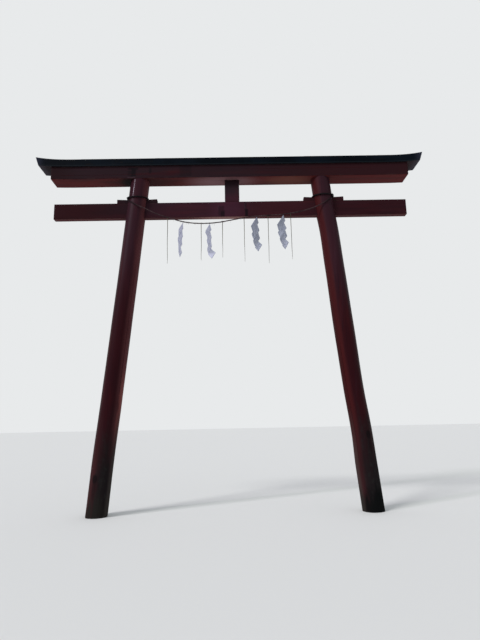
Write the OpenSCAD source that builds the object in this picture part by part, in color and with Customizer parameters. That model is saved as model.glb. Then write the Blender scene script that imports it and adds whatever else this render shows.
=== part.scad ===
// A wooden torii gate: two leaning log posts, a tie beam wedged through them, and a double top lintel
// whose upper beam is cased in dark sheet metal. A straw rope with paper streamers hangs in front.
// Origin: centre of the left post's foot. +X runs along the gate, -Y is its front, +Z is up.

/* [Posts] */
// Distance between the centres of the two posts' feet
post_spacing = 3050; // [2900:1:3300]
// Diameter of a post at the ground
post_foot_d = 242; // [200:1:250]
// Diameter of a post under the lintel
post_top_d = 235; // [190:1:240]
// Lean of each post towards the other, as run for each unit of height
post_lean = 0.1; // [0.08:0.005:0.11]
// Width of the square tenon on top of each post
post_tenon_w = 90; // [60:1:110]
// Height of that tenon
post_tenon_h = 70; // [40:1:100]

/* [Tie beam] */
// Height of the tie beam's underside above the ground
nuki_z = 3470; // [3300:1:3500]
// Height of the tie beam
nuki_h = 198; // [150:1:220]
// Thickness of the tie beam
nuki_t = 78; // [60:1:90]
// Length of the tie beam
nuki_len = 4356; // [4200:1:4600]
// Chamfer along the edges of the beams
chamfer = 4; // [2:0.5:8]

/* [Wedges] */
// Height of a wedge where it enters the post
wedge_h = 46; // [30:1:60]
// Length of a wedge outside the post
wedge_out = 130; // [80:1:160]
// Length of a wedge inside the post
wedge_in = 85; // [40:1:100]
// Drop of a wedge's top for each unit of length, towards the post
wedge_slope = 0.05; // [0.02:0.01:0.08]

/* [Centre strut] */
// Width of the strut between tie beam and lintel
strut_w = 180; // [120:1:240]
// Thickness of the strut
strut_t = 78; // [50:1:90]
// How far the strut stands right of the gate's middle
strut_shift = 20; // [0:1:60]
// Width of the strut's two tenons
strut_tenon_w = 100; // [60:1:110]
// Thickness of those tenons
strut_tenon_t = 30; // [20:1:40]
// Height of those tenons
strut_tenon_h = 45; // [20:1:60]

/* [Lower lintel] */
// Height of the lower lintel's underside above the ground
shimaki_z = 3960; // [3900:1:4200]
// Height of the lower lintel at mid-length
shimaki_h = 165; // [130:1:200]
// Thickness of the lower lintel
shimaki_t = 232; // [190:1:240]
// Length of the lower lintel
shimaki_len = 4427; // [4300:1:4600]
// Rise of its underside at the ends
shimaki_rise = 5; // [0:1:12]

/* [Upper lintel] */
// Height of the upper lintel's faces at mid-length
kasagi_h = 92; // [70:1:120]
// Thickness of the upper lintel's timber
kasagi_t = 254; // [250:1:300]
// Length of the upper lintel's timber along its underside
kasagi_len = 4732; // [4660:1:4900]
// Extra length of each end at the eaves, for the slanting cut
kasagi_slant = 35; // [10:1:60]
// Rise of its underside at the tips
kasagi_rise = 21; // [14:1:40]
// Extra height of its faces at the tips
kasagi_thicken = 15; // [0:1:20]
// Height of its ridge above the eaves
ridge_h = 36; // [20:1:60]
// Distance from mid-length to where both lintels begin to curve up
curve_start = 1850; // [1200:1:2000]

/* [Metal casing] */
// Thickness of the casing sheets
sheet = 4; // [2:0.5:6]
// Height of the folded hem along the bottom edge
hem_h = 12; // [8:1:20]
// How far the hem stands out from the sheet
hem_out = 4; // [2:0.5:8]
// Width of the strip over the ridge joint, measured across the gate
ridge_cap_w = 70; // [50:1:90]

/* [Straw rope] */
// Diameter of the rope that hangs between the posts
rope_d = 14; // [8:1:16]
// Diameter of the thicker rope tied round each post
ring_d = 18; // [14:1:20]
// Diameter of the bound straw over each knot
knot_d = 36; // [28:1:44]
// Diameter of a straw tail where it is tied to the rope
tail_d = 9; // [6:1:12]
// Diameter of a straw tail at its lower end
tail_tip_d = 4; // [3:1:8]

/* [Paper streamers] */
// Length of the upper two paper panels along their long edges
panel_len = 150; // [125:1:180]
// Length of the third panel
panel_third = 125; // [105:1:150]
// Length of the last panel
panel_last = 92; // [60:1:120]
// Lean of the long edges from the upright
panel_lean = 33; // [28:1:38]
// Length of a panel's short edges
fold_len = 80; // [75:1:95]
// Lean of the short edges from the upright, the other way
fold_lean = 20; // [15:1:25]
// Length of the last panel's short edges
last_fold_len = 72; // [60:1:85]
// Lean of the last panel's short edges
last_fold_lean = 50; // [40:1:60]
// Sideways step from one panel to the next
panel_step = 8; // [5:1:10]
// Drop from one panel to the next
panel_drop = 98; // [85:1:100]
// Drop from the third panel to the last
last_drop = 126; // [108:1:130]
// Thickness of the folded paper
paper_t = 3; // [2:0.5:5]

/* [Hidden] */
mid_x = post_spacing / 2;
post_h = shimaki_z;
post_clear = 1;
tenon_root = 1;
nuki_top = nuki_z + nuki_h;
strut_x = mid_x + strut_shift;
tenon_clear = 1;
kasagi_z = shimaki_z + shimaki_h;
beyond = 60;
wedge_wide = nuki_t - 2 * chamfer;

// Stations along the lintels, as parts of their half length, close together where the beams curve
stations = [for (s = [-1 : 0.04 : -0.72]) s,
    for (s = [-0.68 : 0.34 : 0.68]) s,
    for (s = [0.72 : 0.04 : 1]) s];

// The rope ring rests just over the wedges at the post's sides and sags in front
ring_gap = 8;
ring_sag = 17;
ring_side_z = nuki_top + wedge_h + ring_d / 2 + ring_gap;
ring_front_z = ring_side_z - ring_sag;
ring_slack = 2;
ring_x = post_x(ring_side_z);
ring_r = post_r(ring_side_z) + ring_d / 2 + ring_slack;
// Angle at the post's outer front where the ring is knotted, and half of the arc under the knot
knot_angle = 212;
knot_half = 8;
// Steps of the rings and tails along their lengths
ring_turns = 30;
tail_rings = 8;

// Route of the hanging rope, from the left knot round the front of the post, down and up to the right one
rope_route = [
    [262, -72, 3696], [276, -89, 3680], [298, -107, 3660], [328, -121, 3637], [362, -127, 3614],
    [400, -128, 3594], [450, -128, 3573], [510, -128, 3543], [580, -128, 3505], [660, -128, 3470],
    [750, -128, 3438], [850, -128, 3405], [960, -128, 3373], [1090, -128, 3355], [1230, -128, 3351],
    [1370, -128, 3361], [1510, -128, 3384], [1660, -128, 3411], [1810, -128, 3431], [1960, -128, 3442],
    [2110, -128, 3449], [2250, -128, 3464], [2370, -128, 3487], [2470, -128, 3514], [2560, -128, 3546],
    [2640, -128, 3586], [2688, -127, 3614], [2722, -121, 3637], [2752, -107, 3660], [2774, -89, 3680],
    [2788, -72, 3696]];
rope_y = -128;

// Distance of the last panel's top corner to the right of the streamer's own top corner
last_step = 5;
// The panels of a streamer: top corner below the rope, length, and the short edges' length and lean
streamer_panels = [
    [[0, 0], panel_len, fold_len, fold_lean],
    [[panel_step, -panel_drop], panel_len, fold_len, fold_lean],
    [[2 * panel_step, -2 * panel_drop], panel_third, fold_len, fold_lean],
    [[last_step, -2 * panel_drop - last_drop], panel_last, last_fold_len, last_fold_lean]];
// Left to right: the point of the rope that each streamer hangs from, how far it swings to the left, and
// its panels' turns about the line below that point
streamers = [[948, 3377, 5, [62, 72, 60, 110]], [1270, 3353, 0, [38, 66, 60, 4]],
    [1842, 3434, 0, [10, 28, 14, 0]], [2166, 3455, 0, [0, 6, 34, -36]]];
// Left to right: the point of the rope that each straw tail is tied to, and the height of its tip
tails = [[760, 3435, 2850], [1166, 3353, 2885], [1423, 3369, 2914], [1686, 3415, 2860],
    [1976, 3443, 2835], [2252, 3464, 2880]];

// Rise of a curved beam at a distance from mid-length, reaching full_rise at reach
function curve_up(distance, reach, full_rise) =
    distance <= curve_start ? 0 : full_rise * pow((distance - curve_start) / (reach - curve_start), 3);

// Faces of a solid made of like rings of points: its sides and its two flat ends
function loft_faces(rings, points) = concat(
    [[for (k = [0 : points - 1]) k]],
    [for (r = [0 : rings - 2], k = [0 : points - 1])
        let (here = r * points, there = here + points, next = (k + 1) % points)
        [here + k, there + k, there + next, here + next]],
    [[for (k = [points - 1 : -1 : 0]) (rings - 1) * points + k]]);

module loft(rings) {
    polyhedron(points = [for (ring = rings, p = ring) p], faces = loft_faces(len(rings), len(rings[0])));
}

function unit(v) = v / norm(v);

// Direction of a route at point i, from its neighbours
function heading(route, i) = unit(route[min(i + 1, len(route) - 1)] - route[max(i - 1, 0)]);

// A round cord of given radii at its two ends, swept along a route; no stretch of it may run along upright
module cord(route, r_start, r_end, sides, upright) {
    last = len(route) - 1;
    loft([for (i = [0 : last])
        let (t = heading(route, i), a = unit(cross(t, upright)), b = cross(a, t),
            r = r_start + (r_end - r_start) * i / last)
        [for (k = [0 : sides - 1])
            route[i] + r * (cos(360 * k / sides) * a + sin(360 * k / sides) * b)]]);
}

// Anything made for the left half, moved to the right half as its mirror image
module right_half() {
    translate([post_spacing, 0, 0]) mirror([1, 0, 0]) children();
}

function post_x(z) = post_lean * z;
function post_r(z) = (post_foot_d + (post_top_d - post_foot_d) * z / post_h) / 2;

// Outline of one wedge from the side, x measured from the post's axis outwards, standing on the tie beam
module wedge_outline(face) {
    tip = face - wedge_in;
    out = face + wedge_out;
    polygon([[tip, 0], [out, 0], [out, wedge_h + wedge_slope * wedge_out],
        [tip, wedge_h - wedge_slope * wedge_in]]);
}

// Both wedge seats of a post are cut at the same height, with its face taken at the tie beam's top
wedge_face = post_r(nuki_top);
wedge_axis_x = post_x(nuki_top);

module wedge(side, thick) {
    translate([wedge_axis_x, thick / 2, nuki_top])
        mirror([side < 0 ? 1 : 0, 0, 0])
            rotate([90, 0, 0]) linear_extrude(thick) wedge_outline(wedge_face);
}

// A round log, a little thinner at the top, leaning inwards, with level cuts at both ends
module post_log() {
    lean_angle = atan(post_lean);
    axis_len = post_h / cos(lean_angle);
    taper = (post_foot_d - post_top_d) / 2 / axis_len;
    intersection() {
        rotate([0, lean_angle, 0]) translate([0, 0, -beyond])
            cylinder(h = axis_len + 2 * beyond, r1 = post_foot_d / 2 + taper * beyond,
                r2 = post_top_d / 2 - taper * beyond, $fn = 96);
        translate([-post_foot_d, -post_foot_d, 0])
            cube([2 * post_foot_d + post_x(post_h), 2 * post_foot_d, post_h]);
    }
}

module post() {
    color("firebrick") {
        difference() {
            post_log();
            translate([-post_foot_d, -nuki_t / 2 - post_clear, nuki_z])
                cube([3 * post_foot_d + post_x(post_h), nuki_t + 2 * post_clear, nuki_h]);
            wedge(1, wedge_wide + 2 * post_clear);
            wedge(-1, wedge_wide + 2 * post_clear);
        }
        translate([post_x(post_h) - post_tenon_w / 2, -post_tenon_w / 2, post_h - tenon_root])
            cube([post_tenon_w, post_tenon_w, post_tenon_h + tenon_root]);
    }
}

module wedge_piece(side) {
    color("firebrick") wedge(side, wedge_wide);
}

// Section of the tie beam, with its edges chamfered
module nuki_section() {
    half = nuki_t / 2;
    flat = half - chamfer;
    polygon([[-flat, 0], [flat, 0], [half, chamfer], [half, nuki_h - chamfer], [flat, nuki_h],
        [-flat, nuki_h], [-half, nuki_h - chamfer], [-half, chamfer]]);
}

module nuki_tie_beam() {
    color("firebrick") difference() {
        translate([mid_x - nuki_len / 2, 0, nuki_z])
            rotate([90, 0, 90]) linear_extrude(nuki_len)
                nuki_section();
        strut_mortise(nuki_top - strut_tenon_h);
    }
}

// Socket for one of the strut's tenons, from height z up
module strut_mortise(z) {
    wide = strut_tenon_w + 2 * tenon_clear;
    deep = strut_tenon_t + 2 * tenon_clear;
    translate([strut_x - wide / 2, -deep / 2, z - tenon_clear])
        cube([wide, deep, strut_tenon_h + 2 * tenon_clear]);
}

module centre_strut() {
    strut_h = shimaki_z - nuki_top;
    color("firebrick") {
        translate([strut_x - strut_w / 2, -strut_t / 2, nuki_top])
            cube([strut_w, strut_t, strut_h]);
        translate([strut_x - strut_tenon_w / 2, -strut_tenon_t / 2, nuki_top - strut_tenon_h])
            cube([strut_tenon_w, strut_tenon_t, strut_h + 2 * strut_tenon_h]);
    }
}

// Heights of the lower lintel's underside and top at a distance from mid-length
function shimaki_under(d) = shimaki_z + curve_up(d, shimaki_len / 2, shimaki_rise);
function kasagi_under(d) = kasagi_z + curve_up(d, kasagi_len / 2, kasagi_rise);
function kasagi_eave(d) = kasagi_under(d) + kasagi_h + curve_up(d, kasagi_len / 2, kasagi_thicken);

module shimaki_lower_lintel() {
    color("firebrick") difference() {
        loft([for (s = stations)
            let (x = s * shimaki_len / 2, half = shimaki_t / 2,
                low = shimaki_under(abs(x)), top = kasagi_under(abs(x)))
            [for (p = [[-half + chamfer, low], [half - chamfer, low], [half, low + chamfer], [half, top],
                [-half, top], [-half, low + chamfer]])
                [mid_x + x, p[0], p[1]]]]);
        post_mortise();
        right_half() post_mortise();
        strut_mortise(shimaki_z);
    }
}

module post_mortise() {
    wide = post_tenon_w + 2 * tenon_clear;
    translate([post_x(post_h) - wide / 2, -wide / 2, post_h - beyond])
        cube([wide, wide, post_tenon_h + tenon_clear + beyond]);
}

// A point of the upper lintel or its casing: the higher it lies, the further out the slanting ends reach
function kasagi_point(s, y, z, extra) =
    let (slope = kasagi_slant / (kasagi_h + kasagi_thicken),
        half = kasagi_len / 2 + extra + slope * (z - kasagi_under(kasagi_len / 2)))
    [mid_x + s * half, y, z];

// A ring of points at station s: outline is a list of [y, height above the underside or eave, at_eave]
function kasagi_ring(s, outline, extra) =
    let (d = abs(s) * kasagi_len / 2)
    [for (p = outline) kasagi_point(s, p[0], (p[2] ? kasagi_eave(d) : kasagi_under(d)) + p[1], extra)];

module kasagi_loft(outline, extra) {
    loft([for (s = stations) kasagi_ring(s, outline, extra)]);
}

kasagi_half_t = kasagi_t / 2;
roof_slope = ridge_h / kasagi_half_t;
// Height of the casing's outer fold above the timber's eave
fold_up = sheet * (1 - roof_slope);

module kasagi_upper_lintel() {
    color("rosybrown")
        kasagi_loft([[-kasagi_half_t, 0, false], [kasagi_half_t, 0, false], [kasagi_half_t, 0, true],
            [0, ridge_h, true], [-kasagi_half_t, 0, true]], 0);
}

// One folded sheet: hem, upright face and roof slope up to the ridge
casing_outline = let (a = kasagi_half_t, b = kasagi_half_t + sheet, c = kasagi_half_t + sheet + hem_out)
    [[-a, 0, false], [-a, 0, true], [0, ridge_h, true], [0, ridge_h + sheet, true], [-b, fold_up, true],
        [-b, hem_h, false], [-c, hem_h - hem_out / 2, false], [-c, 0, false]];

module casing_front() {
    color("darkslategray") kasagi_loft([for (k = [len(casing_outline) - 1 : -1 : 0]) casing_outline[k]], 0);
}

module casing_back() {
    color("darkslategray") kasagi_loft([for (p = casing_outline) [-p[0], p[1], p[2]]], 0);
}

// Flat plate over one slanting end, as wide as the casing
module casing_end() {
    b = kasagi_half_t + sheet;
    outline = [[-b, 0, false], [b, 0, false], [b, fold_up, true], [0, ridge_h + sheet, true],
        [-b, fold_up, true]];
    color("darkslategray")
        loft([kasagi_ring(-1, outline, sheet), kasagi_ring(-1, outline, 0)]);
}

module casing_ridge_strip() {
    half = ridge_cap_w / 2;
    drop = roof_slope * half;
    top = ridge_h + sheet;
    color("darkslategray")
        kasagi_loft([[-half, top - drop, true], [0, top, true], [half, top - drop, true],
            [half, top - drop + sheet, true], [0, top + sheet, true],
            [-half, top - drop + sheet, true]], sheet);
}

// The rope ring lies on the wedges at the post's sides and sags a little at its front
function ring_point(angle) =
    [ring_x + ring_r * cos(angle), ring_r * sin(angle),
        ring_side_z + (ring_front_z - ring_side_z) * max(0, -sin(angle))];

ring_route = [for (k = [0 : ring_turns])
    ring_point(knot_angle + knot_half + (360 - 2 * knot_half) * k / ring_turns)];

module rope_ring() {
    color("dimgray") cord(ring_route, ring_d / 2, ring_d / 2, 8, [0, 0, 1]);
}

// Bound knot that fills the gap in the ring
module rope_knot() {
    start = ring_point(knot_angle - knot_half);
    end = ring_point(knot_angle + knot_half);
    color("dimgray")
        translate(start) rotate([0, 0, atan2(end[1] - start[1], end[0] - start[0])])
            rotate([0, acos((end[2] - start[2]) / norm(end - start)), 0])
                cylinder(h = norm(end - start), d = knot_d, $fn = 24);
}

module rope_span() {
    color("tan") cord(rope_route, rope_d / 2, rope_d / 2, 8, [0, 0, 1]);
}

// One panel, a leaning parallelogram below its top corner
module panel_outline(panel) {
    long_edge = panel[1] * [-sin(panel_lean), -cos(panel_lean)];
    short_edge = panel[2] * [sin(panel[3]), -cos(panel[3])];
    translate(panel[0]) polygon([[0, 0], long_edge, long_edge + short_edge, short_edge]);
}

// Zigzag of four leaning paper panels that hangs from the underside of the rope and twists as it goes
// down; each panel crosses the next one in the line below the rope
module streamer(spec) {
    color("white") translate([spec[0], rope_y, spec[1] - rope_d / 2]) rotate([0, spec[2], 0])
        for (k = [0 : len(streamer_panels) - 1])
            rotate([0, 0, spec[3][k]]) rotate([90, 0, 0]) translate([0, 0, -paper_t / 2])
                linear_extrude(paper_t) panel_outline(streamer_panels[k]);
}

module straw_tail(spec) {
    top = spec[1] - rope_d / 2;
    route = [for (k = [0 : tail_rings]) [spec[0], rope_y, top + (spec[2] - top) * k / tail_rings]];
    color("tan") cord(route, tail_d / 2, tail_tip_d / 2, 8, [0, 1, 0]);
}

post();  // post_left
right_half() post();  // post_right
nuki_tie_beam();
wedge_piece(-1);  // wedge_left_outer
wedge_piece(1);  // wedge_left_inner
right_half() wedge_piece(1);  // wedge_right_inner
right_half() wedge_piece(-1);  // wedge_right_outer
centre_strut();
shimaki_lower_lintel();
kasagi_upper_lintel();
casing_front();
casing_back();
casing_end();  // casing_end_left
right_half() casing_end();  // casing_end_right
casing_ridge_strip();
rope_ring();  // rope_ring_left
right_half() rope_ring();  // rope_ring_right
rope_knot();  // rope_knot_left
right_half() rope_knot();  // rope_knot_right
rope_span();
streamer(streamers[0]);  // streamer_1
streamer(streamers[1]);  // streamer_2
streamer(streamers[2]);  // streamer_3
streamer(streamers[3]);  // streamer_4
straw_tail(tails[0]);  // straw_tail_1
straw_tail(tails[1]);  // straw_tail_2
straw_tail(tails[2]);  // straw_tail_3
straw_tail(tails[3]);  // straw_tail_4
straw_tail(tails[4]);  // straw_tail_5
straw_tail(tails[5]);  // straw_tail_6
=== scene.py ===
# A wooden torii gate, dressed round its packed carpentry, in metres. +X runs along the gate, -Y is its front.
import random
from math import cos, exp, hypot, pi, radians, remainder, sin, sqrt

import bmesh
import bpy
from mathutils import Matrix, Vector, noise


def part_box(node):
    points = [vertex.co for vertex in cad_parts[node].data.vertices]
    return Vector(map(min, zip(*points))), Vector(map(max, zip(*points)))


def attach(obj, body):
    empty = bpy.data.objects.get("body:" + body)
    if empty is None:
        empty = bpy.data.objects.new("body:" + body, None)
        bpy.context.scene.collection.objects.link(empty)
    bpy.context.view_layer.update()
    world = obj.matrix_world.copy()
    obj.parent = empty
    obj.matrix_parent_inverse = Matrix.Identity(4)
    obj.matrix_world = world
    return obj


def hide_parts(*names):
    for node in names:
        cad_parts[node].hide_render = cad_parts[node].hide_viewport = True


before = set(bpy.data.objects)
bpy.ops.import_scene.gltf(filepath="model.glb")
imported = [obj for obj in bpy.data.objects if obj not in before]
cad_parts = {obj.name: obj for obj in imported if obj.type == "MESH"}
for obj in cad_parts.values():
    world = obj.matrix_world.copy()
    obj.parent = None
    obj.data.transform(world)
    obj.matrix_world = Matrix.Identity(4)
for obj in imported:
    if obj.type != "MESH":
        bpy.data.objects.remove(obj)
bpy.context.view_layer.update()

# Viewpoint
# The camera is held a metre above the feet of the posts and 5.8 m in front of them, and looks up at the
# lintels. It is turned a little to the right and leans a little to the left.
eye_place = Vector((1.553, -5.8, 1.008))
eye_tilt_up = radians(11.399)
eye_turn_right = radians(0.598)
eye_roll = radians(-1.127)


def put_in(name, data):
    """Puts a mesh, a lamp or the camera in the scene."""
    thing = bpy.data.objects.new(name, data)
    bpy.context.scene.collection.objects.link(thing)
    return thing


eye = put_in("eye", bpy.data.cameras.new("eye"))
eye.data.lens = 28.007
eye.data.sensor_width = 36
eye.matrix_world = (Matrix.Translation(eye_place) @ Matrix.Rotation(-eye_turn_right, 4, "Z")
                    @ Matrix.Rotation(pi / 2 + eye_tilt_up, 4, "X") @ Matrix.Rotation(eye_roll, 4, "Z"))
bpy.context.scene.camera = eye

# Posts
# Two peeled logs, scraped smooth and painted vermilion, that lean together at the top. Each has a slot cut
# through it for the tie beam, with a seat for the wedges over it. Their feet are dirty and darker, most of
# all on one side. Their inner sides and upper parts carry painted light.
lean = 0.1
foot_radius = 0.121
top_radius = 0.1175
lintel_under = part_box("shimaki_lower_lintel")[0].z
beam_low, beam_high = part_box("nuki_tie_beam")
gate_middle = (beam_low.x + beam_high.x) / 2
post_spacing = 2 * gate_middle
posts = (("left", 0.0, lean), ("right", post_spacing, -lean))
log_columns = 96
ring_step = 0.02
slot_slack = 0.001
wedge_rise = 0.046
wedge_slope = 0.05
wedge_outside = 0.13
wedge_inside = 0.085
seat_depth = 0.004
wedge_half = 0.035
check_lip = 0.014
check_clear = 0.07
slow_growth = 0.0022
fine_growth = 0.0007
knot_swell = 0.004
knot_hollow = 0.005


def srgb(red, green, blue):
    """A colour as it is seen, each part from 0 to 255, in the numbers that a shader takes."""
    parts = [c / 255 for c in (red, green, blue)]
    return (*[c / 12.92 if c <= 0.04045 else ((c + 0.055) / 1.055) ** 2.4 for c in parts], 1.0)


def plug(tree, socket, value):
    """Sets a socket to a value, or links it where the value comes from another node."""
    if isinstance(value, bpy.types.NodeSocket):
        tree.links.new(value, socket)
    else:
        socket.default_value = value


def add_node(tree, kind, sockets=None, **settings):
    """Adds a node with values or links in its sockets, and hands back its outputs."""
    made = tree.nodes.new("ShaderNode" + kind)
    for key, value in settings.items():
        setattr(made, key, value)
    for key, value in (sockets or {}).items():
        plug(tree, made.inputs[key], value)
    return made.outputs


class Finish:
    """A finish while it is mixed: coats, stains and dirt are laid over one another through masks. Its
    colours are given as they are seen, each part from 0 to 255."""

    def __init__(self, name, colour, rough, run="X"):
        self.material = bpy.data.materials.new(name)
        self.material.use_nodes = True
        self.tree = self.material.node_tree
        guide = self.node("TexCoord")
        self.place = guide["Object"]
        self.facing = self.parts(guide["Normal"])
        self.height = self.parts(self.place)["Z"]
        self.run, self.colour, self.rough, self.relief = run, srgb(*colour), rough, None

    def node(self, kind, sockets=None, **settings):
        return add_node(self.tree, kind, sockets, **settings)

    def parts(self, vector):
        return self.node("SeparateXYZ", {0: vector})

    def sum(self, a, b, how="ADD"):
        return self.node("Math", {0: a, 1: b}, operation=how)[0]

    def both(self, *masks):
        """The product of masks: each is a number, a socket, or (value, low, high) for a band of a value."""
        product, *others = [self.band(*mask) if isinstance(mask, tuple) else mask for mask in masks]
        for mask in others:
            product = self.sum(product, mask, "MULTIPLY")
        return product

    def band(self, value, low, high):
        """0 where value is at low or beyond, 1 where it is at high or beyond, and smooth between."""
        return self.node("MapRange", {"Value": value, "From Min": low, "From Max": high},
                         interpolation_type="SMOOTHSTEP")["Result"]

    def cloud(self, size, detail=3.0, shift=0.0):
        """Soft noise about 0.5. Its clouds have one size, or one along each of X, Y and Z."""
        sizes = size if isinstance(size, tuple) else (size,) * 3
        spread = self.node("Mapping", {"Vector": self.place, "Location": (shift,) * 3,
                                       "Scale": [1 / s for s in sizes]})["Vector"]
        return self.node("TexNoise", {"Vector": spread, "Scale": 1.0, "Detail": detail})["Fac"]

    def grain(self, length, width, detail=3.0, shift=0.0):
        """Noise drawn out along the run of the wood."""
        size = (length, width, width) if self.run == "X" else (width, width, length)
        return self.cloud(size, detail, shift)

    def spot(self, centre, size, ragged=0.5, soft=0.35):
        """A ragged patch round a place, with that half size along each axis."""
        away = self.node("VectorMath", {0: self.place, 1: centre}, operation="SUBTRACT")[0]
        away = self.node("VectorMath", {0: away, 1: size}, operation="DIVIDE")[0]
        away = self.node("VectorMath", {0: away}, operation="LENGTH")["Value"]
        edge = self.both(self.cloud(max(0.012, min(size)) * 0.8, 4.0), ragged)
        return self.band(self.sum(away, edge), 1 + ragged / 2 + soft, 1 + ragged / 2 - soft)

    def patch(self, low, high):
        """A patch with upright sides and a ragged edge, between two corners seen from the front, (x, z)."""
        place, soft, ragged = self.parts(self.place), 0.008, 0.02
        wander = self.both(self.sum(self.cloud((0.02, 0.02, 0.03), 4.0, 6.0), -0.5), ragged)
        masks = []
        for axis, start, end in (("X", low[0], high[0]), ("Z", low[1], high[1])):
            value = self.sum(place[axis], wander)
            masks += [(value, start - soft, start + soft), (value, end + soft, end - soft)]
        return self.both(*masks)

    def near_ends(self, low, high):
        """0 up to a distance low from the gate's middle, rising to 1 at high."""
        away = self.sum(self.parts(self.place)["X"], -gate_middle)
        return self.band(self.sum(away, 0.0, "ABSOLUTE"), low, high)

    def mark(self, name):
        return self.node("Attribute", attribute_name=name)["Fac"]

    def lay(self, colour, mask, share=1.0, rough=None):
        """Covers what is there with a colour, and with a roughness where one is given."""
        mask = self.both(mask) if share == 1.0 else self.both(mask, share)
        self.colour = self.node("Mix", {0: mask, 6: self.colour, 7: srgb(*colour)}, data_type="RGBA")[2]
        if rough is not None:
            self.rough = self.node("Mix", {0: mask, 2: self.rough, 3: rough})[0]

    def raise_by(self, value, millimetres):
        part = self.both(value, millimetres)
        self.relief = part if self.relief is None else self.sum(self.relief, part)

    def done(self, **sockets):
        bump = self.node("Bump", {"Height": self.relief, "Distance": 0.001, "Strength": 1.0})
        sockets.update(Base_Color=self.colour, Roughness=self.rough, Normal=bump[0])
        surface = self.tree.nodes["Principled BSDF"].inputs
        for key, value in sockets.items():
            plug(self.tree, surface[key.replace("_", " ")], value)
        return self.material


def vermilion(name, run, deep_share=0.5, chalk_share=0.3):
    """Old oil paint on wood: patches rubbed thin and dark, a chalky haze, brushed along the grain. Its
    colours are written darker than fresh vermilion, partly for age and partly as painted shade over the whole
    gate.
    """
    coat = Finish(name, (50, 11, 17), 0.4, run)
    coat.lay((27, 8, 14), (coat.grain(1.4, 0.3), 0.42, 0.62), deep_share)
    coat.lay((70, 17, 18), (coat.grain(0.9, 0.12, 4.0, 7.0), 0.52, 0.7), 0.5)
    coat.lay((58, 38, 47), (coat.grain(0.5, 0.05, 5.0, 3.0), 0.5, 0.78), chalk_share, 0.5)
    coat.lay((24, 6, 11), (coat.grain(0.7, 0.006, 4.0, 11.0), 0.52, 0.7), 0.5)
    coat.raise_by(coat.grain(0.6, 0.005, 3.0, 11.0), 0.5)
    coat.raise_by(coat.cloud(0.012, 5.0), 0.25)
    return coat


def shell(name, points, faces):
    """A mesh from its points and faces, with every face turned outwards."""
    mesh = bpy.data.meshes.new(name)
    mesh.from_pydata(points, [], faces)
    shape = bmesh.new()
    shape.from_mesh(mesh)
    bmesh.ops.recalc_face_normals(shape, faces=shape.faces)
    shape.to_mesh(mesh)
    shape.free()
    return mesh


def make_piece(name, points, faces, finish, stands_for=(), marks=None, sharp=35):
    """A piece of the gate from its points and faces, which rides on the gate and stands for CAD nodes."""
    mesh = shell(name, points, faces)
    for mark, values in (marks or {}).items():
        mesh.attributes.new(mark, "FLOAT", "POINT").data.foreach_set("value", values)
    mesh.shade_smooth()
    mesh.set_sharp_from_angle(angle=radians(sharp))
    mesh.materials.append(finish)
    piece = put_in(name, mesh)
    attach(piece, "root")
    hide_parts(*stands_for)
    return piece


def ring_faces(rings, across):
    """Quads between like rings of points, each ring closed on itself, and a face over both ends."""
    quads = [[r * across + k, r * across + (k + 1) % across, (r + 1) * across + (k + 1) % across,
              (r + 1) * across + k] for r in range(rings - 1) for k in range(across)]
    return quads + [list(range(across)), list(range((rings - 1) * across, rings * across))]


def cut_slot(piece, start, end, low, tops, half_width):
    """Saws a slot through a piece along Y, from start to end along the gate, with a top for each of them."""
    outline = [(start, low), (end, low), (end, tops[1]), (start, tops[0])]
    corners = [(x, y, z) for y in (-half_width, half_width) for x, z in outline]
    cutter = put_in("cutter", shell("cutter", corners, ring_faces(2, 4)))
    saw = piece.modifiers.new("slot", "BOOLEAN")
    saw.object, saw.operation, saw.solver = cutter, "DIFFERENCE", "EXACT"
    whole = piece.data
    piece.data = bpy.data.meshes.new_from_object(piece.evaluated_get(bpy.context.evaluated_depsgraph_get()))
    piece.modifiers.clear()
    bpy.data.meshes.remove(whole)
    bpy.data.meshes.remove(cutter.data)


def wobble(x, y, z):
    """Smooth noise from -1 to 1 at a place."""
    return noise.noise(Vector((x, y, z)))


def log_radius(z):
    return foot_radius + (top_radius - foot_radius) * z / lintel_under


def bump_up(t):
    """From 0 at both ends of 0 to 1 to about 1 between them."""
    return sqrt(max(0.0, sin(pi * t))) if 0 < t < 1 else 0.0


def crooked(z, crook):
    """How far a log has grown sideways, and how much thicker it is, at a height. A crook is a list of
    (height, sideways, thicker)."""
    for low, high in zip(crook, crook[1:]):
        if z <= high[0]:
            t = (z - low[0]) / (high[0] - low[0])
            return [a + (b - a) * t * t * (3 - 2 * t) for a, b in zip(low[1:], high[1:])]
    return crook[-1][1:]


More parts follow.
